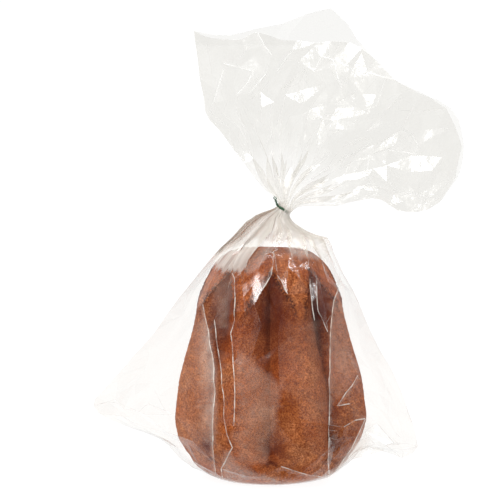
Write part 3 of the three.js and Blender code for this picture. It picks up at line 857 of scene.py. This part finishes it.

# The way in from each fold, in mm, for the whitened fold lines, which are partly the film's own
# whitening at a crease and partly a painted highlight: one number for each side of a facet, large
# where that side is hardly bent.
OPEN_EDGE = 0.3
FOLD_OFFSET = {"front": 0.0, "tail": 0.1, "pleat": 0.5, "soft": 0.8}
FAR = 99.0
first, second, third = corner[facets[:, 0]], corner[facets[:, 1]], corner[facets[:, 2]]
facing = np.cross(second - first, third - first)
double_area = np.linalg.norm(facing, axis=1)
facing = facing / np.maximum(double_area, 1e-9)[:, None]
sides_of_edge = {}
for f, (i, j, k) in enumerate(facets):
    for side, (p, q) in enumerate(((j, k), (k, i), (i, j))):
        sides_of_edge.setdefault((min(p, q), max(p, q)), []).append((f, side))
offset = np.full((len(facets), 3), OPEN_EDGE)
soft_side = np.full(len(facets), -1)
folded_side = np.full(len(facets), -1)
middles = corner[facets].mean(axis=1)
for (p, q), pair in sides_of_edge.items():
    kind, hazy_side = line_kind.get(frozenset((p, q)), ("facet", 0))
    if len(pair) == 2:
        (f, m), (g, n) = pair
        bend = math.degrees(math.acos(max(-1, min(1, float(facing[f] @ facing[g])))))
        slight = 0.4 + 0.6 * float(smooth(34, 10, bend))
        offset[f, m] = offset[g, n] = FOLD_OFFSET.get(kind, slight)
        if kind in ("front", "tail"):
            folded_side[f], folded_side[g] = m, n
        if hazy_side:
            hazy, k = max(((f, m), (g, n)), key=lambda one: hazy_side * middles[one[0], 0])
            soft_side[hazy] = k
lengths = np.stack([np.linalg.norm(third - second, axis=1), np.linalg.norm(first - third, axis=1),
                    np.linalg.norm(second - first, axis=1)], axis=1)
altitude = double_area[:, None] / np.maximum(lengths, 1e-6)
way_in = np.zeros((len(facets), 3, 3))
for m in range(3):
    way_in[:, m, m] = altitude[:, m]
    way_in[:, :, m] += offset[:, m][:, None]
store(film, "way_in", way_in, "FLOAT_VECTOR", "CORNER")
for name, chosen in (("fold_way", folded_side), ("soft_way", soft_side)):
    way = np.full((len(facets), 3), FAR)
    having = np.nonzero(chosen >= 0)[0]
    way[having] = 0
    way[having, chosen[having]] = altitude[having, chosen[having]]
    store(film, name, way, "FLOAT", "CORNER")
veil = np.array([0.25 * max(0, pick.random() - 0.7) / 0.3 for _ in facets])
store(film, "veil", np.repeat(veil, 3), "FLOAT", "CORNER")
film_place = np.dstack([flat_place[:, :, 0] / FLAT_ROUND, flat_place[:, :, 1] - at_neck,
                        np.zeros(flat_place.shape[:2])])
store(film, "film_place", film_place, "FLOAT_VECTOR", "CORNER")


def choose(piece):
    bpy.ops.object.select_all(action="DESELECT")
    piece.select_set(True)
    bpy.context.view_layer.objects.active = piece


choose(film)
subdivide = film.modifiers.new("subsurf", "SUBSURF")
subdivide.subdivision_type = "SIMPLE"
subdivide.levels = subdivide.render_levels = 2
bpy.ops.object.modifier_apply(modifier=subdivide.name)

# The film is pushed clear of the crust, each facet is a little bent, and nothing leaves the box
# of the plain part.
FILM_CLEARANCE = 1.3
FILM_LIFT = 0.05
BENT = 24
points = points_of(film) * 1000
points += np.column_stack([cloud(points, BENT, seed) for seed in (21, 22, 23)])
z = points[:, 2]
inside = (z > 1) & (z < HEIGHT + 3)
turned = np.degrees(np.arctan2(points[:, 1], points[:, 0]))
least = loaf_radius(turned, np.clip(z, 0, HEIGHT))[0] + FILM_CLEARANCE
reach = np.hypot(points[:, 0], points[:, 1])
grow = np.where(inside & (reach < least), least / np.maximum(reach, 1e-6), 1)
points[:, 0] *= grow
points[:, 1] *= grow
points = np.clip(points, np.array(cad_low) * 1000, np.array(cad_high) * 1000)
points[:, 2] = np.maximum(points[:, 2], FILM_LIFT)
put_points(film, points / 1000)

# Milky parts of the front film, as the camera sees them, partly the film's own haze where it lies
# in layers and partly painted reflection of the bright room: thin haze that takes the crust's
# warmth, thick white haze, or the bag's corner, which shows at the loaf's shoulder alone. Then how
# much, how soft their edge is in mm, and the corners.
HAZE_AND_PAINTED_REFLECTION = [
    ("thin", 0.16, 2.5, [(-31, 122), (8.6, 92), (4, 62), (-4, 20), (-30, 12), (-33, 50)]),
    ("thin", 0.09, 5, [(-70, 150), (-62, 150), (-58, 100), (-58, 40), (-75, 30), (-94, 45),
                       (-88, 100)]),
    ("thick", 0.28, 4, [(-66, 150), (-58, 142), (-51.5, 108), (-51.5, 64), (-53.5, 36), (-61, 38),
                        (-65, 64), (-67, 108)]),
    ("thin", 0.15, 4, [(60, 168), (70, 165), (84, 100), (57, 74), (56, 142)]),
    ("thin", 0.06, 4, [(15, 150), (42, 150), (51, 80), (52, 24), (38, 30), (20, 92)]),
    ("thick", 0.26, 2, [(-43, 28), (-36.5, 30), (-28, 14), (6, 1), (-45, 1), (-46, 8)]),
    ("corner", 0.51, 5, [(90, 58), (77, 31), (56, 0), (62, -6), (80, 8), (94, 32), (95, 50)]),
    ("thin", 0.1, 3, [(-55, 195), (-36, 195), (-36, 171), (-54, 171)]),
    ("thin", 0.13, 2, [(-51, 173), (-39, 173), (-40, 145), (-50, 145)]),
]
seen = points @ to_seen
scuffed = np.zeros(len(points))
warmed = np.zeros(len(points))
for kind, strength, edge, around in HAZE_AND_PAINTED_REFLECTION:
    within = np.zeros(len(points), bool)
    away = np.full(len(points), np.inf)
    for here, there in zip(np.array(around), np.array(around[1:] + around[:1])):
        (x0, up0), (x1, up1) = here, there
        crosses = (up0 > seen[:, 1]) != (up1 > seen[:, 1])
        within ^= crosses & (seen[:, 0] < (x1 - x0) * (seen[:, 1] - up0) / (up1 - up0 + 1e-9) + x0)
        step = there - here
        t = np.clip((seen - here) @ step / (step @ step), 0, 1)
        away = np.minimum(away, np.hypot(*(seen - here - t[:, None] * step).T))
    inwards = np.where(within, away, -away)
    mask = smooth(-edge, edge, inwards) * (points[:, 1] < 0)
    if kind == "corner":
        mask *= smooth(-66, -45, points[:, 1]) * smooth(0, -32, points[:, 1])
    scuffed = np.maximum(scuffed, strength * mask)
    if kind == "thin":
        warmed = np.maximum(warmed, mask)
store(film, "scuffed", scuffed)
store(film, "warmed", warmed)
choose(film)
bpy.ops.object.shade_smooth_by_angle(angle=math.radians(6))

SINGLE_CLEAR = (0.977, 0.972, 0.961, 1)
TAIL_CLEAR = (0.932, 0.926, 0.908, 1)
SHADOW_CLEAR = (0.55, 0.5, 0.45, 1)
MILK = (0.86, 0.77, 0.69, 1)
WARM_MILK = (1, 0.69, 0.52, 1)
TAIL_MILK = (0.95, 0.94, 0.92, 1)
GATHER_MILK = (0.79, 0.76, 0.7, 1)
# Round the film from the right side fold on: how far the gathers stay milky below the neck, in
# parts of 100 mm, and how milky they are there.
REACH_BELOW = [(0.0, 0.5), (0.3, 0.6), (0.5, 0.75), (0.6, 0.86), (0.71, 0.84), (0.735, 0.5),
               (0.775, 0.5), (0.8, 0.72), (0.88, 0.7), (0.94, 0.8), (1.0, 0.5)]
HOW_MILKY = [(0.0, 0.7), (0.45, 0.9), (0.55, 1), (0.67, 1), (0.69, 0.4), (0.77, 0.3),
             (0.83, 0.45), (0.88, 0.6)]
clear, start, place = new_material("clear_film")
to_first, to_second, to_third = attribute(start, "way_in", "Vector").parts()
from_fold = to_first.least(to_second).least(to_third)
on_film = attribute(start, "film_place", "Vector")
round_film, past_neck, _ = on_film.parts()


def round_ramp(stops):
    """A number that changes round the film."""
    return round_film.out("ShaderNodeValToRGB", 0, {
        "stops": [(share, (number,) * 3) for share, number in stops]}, Fac=round_film)


streak_at = on_film.out("ShaderNodeVectorMath", 0, {"operation": "MULTIPLY"},
                        input0=on_film, input1=(64, 0.012, 1))
streaks = grain_of(streak_at, 1.0, 2).spread(0.35, 0.65)
before_neck = 0 - past_neck
below = before_neck - round_ramp(REACH_BELOW) * 100 + streaks * 9
band = 1 - below.spread(-3, 3)
above = 1 - (past_neck - streaks * 20).spread(0, 32)
over_loaf = before_neck.spread(38, 55)
near_neck = band.least(above) * (0.45 + 0.55 * streaks) * (1 - 0.78 * past_neck.spread(-2, 10))
near_neck = near_neck * (1 - (1 - 1.25 * round_ramp(HOW_MILKY)) * over_loaf)
closest = (1 - past_neck.math("ABSOLUTE").spread(4, 46)) ** 2
gathered = closest * past_neck.spread(-6, 6)
broken = 0.3 + 0.7 * grain_of(place, 90, 2).spread(0.42, 0.6)
# White fold lines: partly the film's own whitening at a crease, partly a painted highlight along
# it.
fold = (1 - from_fold.spread(0.2, 0.75)) * broken * (1 - 0.6 * near_neck)
fold = fold * (1 - 0.8 * gathered)
by_fold = attribute(start, "fold_way")
# Painted shadow: a thin dark line just beside a long fold on the body.
beside = by_fold.spread(0.5, 0.8) * (1 - by_fold.spread(0.9, 1.7)) * before_neck.spread(30, 50)
# Haze on the hazy side of a fold, fading over 7 mm: partly the film's own haze, partly painted
# reflection of the bright room.
soft = (1 - attribute(start, "soft_way").spread(0, 7)) ** 2

# Clear film: see-through, with a mirror shine that grows at a slant, and a painted shadow line by
# a fold.
grazing = start.out("ShaderNodeLayerWeight", "Facing", Blend=0.5)
shine = (0.042 + 0.958 * grazing ** 5) * (1 - 0.9 * gathered)
in_tail = past_neck.spread(4, 30)
ripples = grain_of(place, 55, 2, 0.5) + 0.7 * in_tail * grain_of(place, 70, 4, 0.6)
rippled = start.out("ShaderNodeBump", 0, Strength=0.5, Distance=0.002, Height=ripples)
glint = start.out("ShaderNodeBsdfGlossy", 0, Color=WHITE, Roughness=0.2, Normal=rippled)
thin = start.out("ShaderNodeBsdfTransparent", 0, Color=SINGLE_CLEAR)
dull = start.out("ShaderNodeBsdfTransparent", 0, Color=TAIL_CLEAR)
dark = start.out("ShaderNodeBsdfTransparent", 0, Color=SHADOW_CLEAR)
through_film = start.out("ShaderNodeMixShader", 0, input0=past_neck.spread(35, 70),
                         input1=thin, input2=dull)
through_film = start.out("ShaderNodeMixShader", 0, input0=beside * 0.3, input1=through_film,
                         input2=dark)
shell = start.out("ShaderNodeMixShader", 0, input0=shine, input1=through_film, input2=glint)

# Milky film: gathered or folded, or in patches that are partly painted reflection, with fold lines
# that are partly painted highlight; greyer just below the tie and whiter above it.
whiteness = attribute(start, "warmed").mix(MILK, WARM_MILK)
whiteness = past_neck.spread(-4, 8).mix(whiteness, TAIL_MILK)
below_tie = 1 - past_neck.spread(-4, 8)
whiteness = (closest.most(near_neck) * below_tie).mix(whiteness, GATHER_MILK)
milky = start.out("ShaderNodeBsdfPrincipled", 0, Base_Color=whiteness, Roughness=0.35)
haze = 0.003 + 0.14 * attribute(start, "veil") + 0.55 * near_neck + 0.06 * closest
# Patches of haze: partly the film's own, partly painted reflection of the bright room.
patchy_haze_and_reflection = attribute(start, "scuffed") * (0.55 + 0.45 * broken)
haze = (haze + patchy_haze_and_reflection + 0.2 * soft + 0.8 * fold).least(0.9)
show(start.out("ShaderNodeMixShader", 0, input0=haze, input1=shell, input2=milky))
paint(film, clear)
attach(film, "root")
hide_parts("bag")

# The tie: a soft wire between two strips of green paper, laid once round the neck and twisted
# together at the front left, where its two ends stand up and thin out to the wire.
TIE_RADIUS = 6.5
TIE_WIDTH = 2.6
TIE_START = -135  # degrees round the neck, where the ends cross
TIE_GAP = 14  # degrees from there to where each end turns up
END_FROM = np.array([-5, -5, 2.2])
END_DRIFT = np.array([-3.4, -1.8, 10])
END_TURNS = 1.75
END_WIDTH = 1.5
END_THINS = 0.8
WIRE_RADIUS = 0.42
PAPER_HALF_THICK = 0.16
TIE_ALONG = 260
TIE_AROUND = 16


def end_point(t, phase, splay):
    """The middle of a twisted end and the way out of it, at a part t of its length."""
    turn = phase + 2 * math.pi * END_TURNS * t
    wide = 0.35 + 0.5 * float(smooth(0, 0.3, t)) + splay * float(smooth(0.7, 1, t))
    out = np.array([math.cos(turn), math.sin(turn), 0])
    return NECK + END_FROM + END_DRIFT * t + wide * out, out


strip = []  # middle of the strip, the way out of it, width
for t in np.linspace(1, 0.08, 24):
    strip.append((*end_point(t, 0, 0.8), END_WIDTH - END_THINS * t))
for turn in np.radians(TIE_START + np.linspace(TIE_GAP, 360 - TIE_GAP, 60)):
    out = math.cos(turn) * neck_across + math.sin(turn) * np.array([0, 1, 0])
    strip.append((NECK + TIE_RADIUS * out, out, TIE_WIDTH))
for t in np.linspace(0.08, 1, 24):
    strip.append((*end_point(t, math.pi, 1.5), END_WIDTH - END_THINS * t))
path, outs, widths = (np.array(column) for column in zip(*strip))
for _ in range(3):
    for eased in (path, outs, widths):
        eased[1:-1] = (eased[:-2] + 2 * eased[1:-1] + eased[2:]) / 4
travelled = np.concatenate([[0], np.cumsum(np.linalg.norm(np.diff(path, axis=0), axis=1))])
stations = np.linspace(0, travelled[-1], TIE_ALONG + 1)
path = np.column_stack([np.interp(stations, travelled, path[:, k]) for k in range(3)])
outs = np.column_stack([np.interp(stations, travelled, outs[:, k]) for k in range(3)])
widths = np.interp(stations, travelled, widths)
ahead = np.gradient(path, axis=0)
ahead /= np.linalg.norm(ahead, axis=1, keepdims=True)
outs -= ahead * (outs * ahead).sum(axis=1, keepdims=True)
outs /= np.linalg.norm(outs, axis=1, keepdims=True)
across_strip = np.cross(ahead, outs)

bpy.ops.object.select_all(action="DESELECT")
bpy.ops.mesh.primitive_grid_add(x_subdivisions=TIE_AROUND, y_subdivisions=TIE_ALONG, size=2)
tie = bpy.context.object
tie.name = "paper_tie"
flat = points_of(tie)
station = np.rint((flat[:, 1] + 1) / 2 * TIE_ALONG).astype(int)
turn = (flat[:, 0] + 1) * math.pi
aside = np.cos(turn)
wire = np.exp(-((aside * widths[station] / 2 / WIRE_RADIUS) ** 2))
thick = (PAPER_HALF_THICK + 0.34 * wire) * np.sign(np.sin(turn)) * np.abs(np.sin(turn)) ** 0.4
points = (path[station] + across_strip[station] * (aside * widths[station] / 2)[:, None]
          + outs[station] * thick[:, None])
put_points(tie, points / 1000)
store(tie, "over_wire", wire)
bpy.ops.object.mode_set(mode="EDIT")
bpy.ops.mesh.select_all(action="SELECT")
bpy.ops.mesh.remove_doubles(threshold=0.00001)
bpy.ops.mesh.fill_holes(sides=0)
bpy.ops.mesh.normals_make_consistent(inside=False)
bpy.ops.object.mode_set(mode="OBJECT")
bpy.ops.object.shade_smooth()

DEEP_GREEN = (0.012, 0.06, 0.024, 1)
PAPER_GREEN = (0.03, 0.12, 0.05, 1)
RUBBED_GREEN = (0.06, 0.17, 0.085, 1)
paper, start, place = new_material("green_paper")
fibres = grain_of(place, 2600, 3, 0.7).spread(0.35, 0.65)
green = fibres.mix(DEEP_GREEN, PAPER_GREEN)
rubbed = attribute(start, "over_wire") * grain_of(place, 900, 2).spread(0.45, 0.6)
green = (rubbed * 0.5).mix(green, RUBBED_GREEN)
creped = start.out("ShaderNodeBump", 0, Strength=0.5, Distance=0.0002, Height=fibres)
show(start.out("ShaderNodeBsdfPrincipled", 0, Base_Color=green, Normal=creped,
               Roughness=fibres * 0.15 + 0.42))
paint(tie, paper)
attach(tie, "root")
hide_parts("tie")

size = {
    "cad": [list(cad_low), list(cad_high)],
    "visual": [list(corner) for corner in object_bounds()],
}
